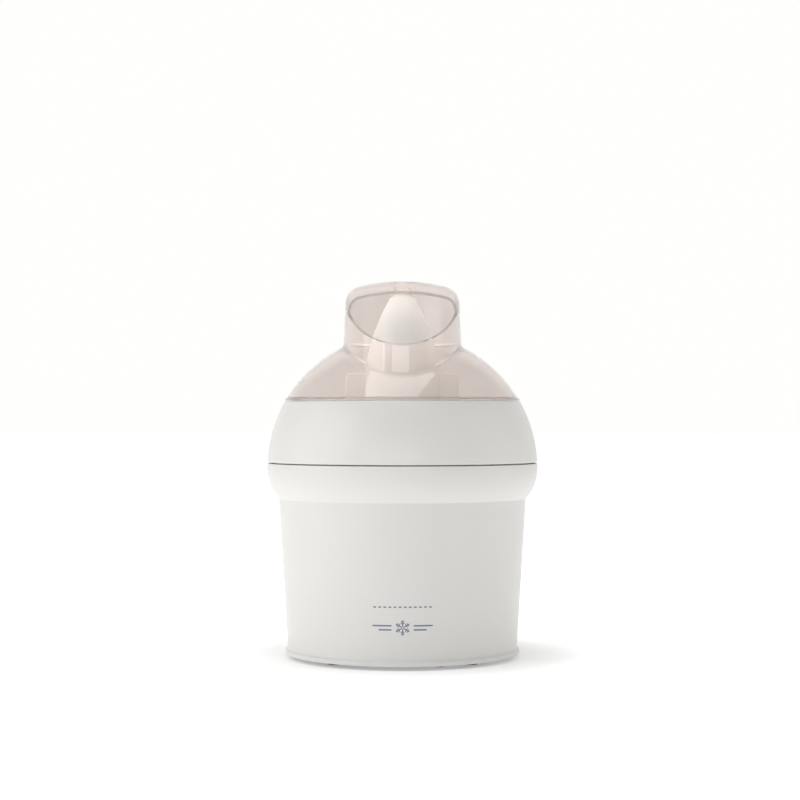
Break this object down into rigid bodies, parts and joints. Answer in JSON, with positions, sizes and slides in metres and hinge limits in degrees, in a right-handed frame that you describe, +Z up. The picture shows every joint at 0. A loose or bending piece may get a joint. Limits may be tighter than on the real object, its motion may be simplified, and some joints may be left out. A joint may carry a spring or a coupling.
{
  "type": "ice cream maker",
  "caption": "Round counter-top ice cream maker: white housing with a collar, cover ring, clear domed lid with a pouring mouth, turning freezer bowl and fixed paddle.",
  "frame": {"origin": "on the table under the bowl's axis, level with the bottoms of the feet", "axes": "+Z up along the bowl's axis, -Y towards the front, where the lid's mouth opens, +X to the right"},
  "size_m": [0.209, 0.209, 0.2912],
  "materials": {
    "white_plastic": "glossy moulded white ABS",
    "clear_plastic": "clear polycarbonate with a smoky beige tint",
    "paddle_plastic": "satin moulded white polypropylene",
    "aluminium": "spun aluminium",
    "gel": "sealed coolant gel",
    "nylon": "natural nylon",
    "grey_plastic": "grey moulded plastic",
    "rubber": "matt rubber",
    "black_plastic": "black moulded plastic",
    "brass": "turned brass",
    "copper": "enamelled copper wire",
    "steel": "zinc-plated steel"
  },
  "bodies": {
    "base": {"base_housing": "white_plastic", "drive_deck": "grey_plastic", "base_plate": "grey_plastic", "foot_1": "rubber", "foot_2": "rubber", "foot_3": "rubber", "foot_4": "rubber", "base_screw_1": "steel", "base_screw_2": "steel", "base_screw_3": "steel", "base_screw_4": "steel", "deck_screw_1": "steel", "deck_screw_2": "steel", "deck_screw_3": "steel", "pillar_screw_1": "steel", "pillar_screw_2": "steel", "pillar_screw_3": "steel", "motor_screw_1": "steel", "motor_screw_2": "steel", "motor_can": "steel", "motor_cover": "steel", "motor_winding": "copper", "gear_plate": "steel", "idler_axle": "steel", "upper_bushing": "brass", "switch_body": "black_plastic", "switch_terminal_1": "brass", "switch_terminal_2": "brass", "cord_inlet": "black_plastic"},
    "ring": {"cover_ring": "white_plastic"},
    "lid": {"clear_lid": "clear_plastic", "paddle": "paddle_plastic"},
    "drive": {"bowl_shell": "white_plastic", "bowl_liner": "aluminium", "coolant_gel": "gel", "bowl_rim_seal": "grey_plastic", "turntable": "grey_plastic", "drive_spindle": "steel", "output_gear": "nylon", "retaining_clip": "steel"},
    "idler": {"idler_gear": "nylon"},
    "rotor": {"rotor_shaft": "steel", "rotor_magnet": "black_plastic", "motor_pinion": "brass"},
    "rocker": {"switch_rocker": "white_plastic"}
  },
  "joints": [
    {"name": "ring_twist", "type": "hinge", "parent": "base", "child": "ring", "pos_m": [0, 0, 0.14], "axis": [0, 0, 1], "range_deg": [0, 20]},
    {"name": "lid_lift", "type": "slide", "parent": "ring", "child": "lid", "axis": [0, 0, 1], "range_m": [0, 0.16]},
    {"name": "bowl_spin", "type": "hinge", "parent": "base", "child": "drive", "pos_m": [0, 0, 0.05], "axis": [0, 0, 1], "continuous": true},
    {"name": "idler_spin", "type": "hinge", "parent": "base", "child": "idler", "pos_m": [0, -0.05, 0.04], "axis": [0, 0, 1], "continuous": true},
    {"name": "motor_spin", "type": "hinge", "parent": "base", "child": "rotor", "pos_m": [-0.02232, -0.04188, 0.03], "axis": [0, 0, 1], "continuous": true},
    {"name": "switch_rock", "type": "hinge", "parent": "base", "child": "rocker", "pos_m": [0, 0.0868, 0.0345], "axis": [1, 0, 0], "range_deg": [0, 20]}
  ],
  "couplings": [
    {"joint": "idler_spin", "follows": "bowl_spin", "ratio": -3.1667},
    {"joint": "motor_spin", "follows": "bowl_spin", "ratio": 8.8667}
  ]
}
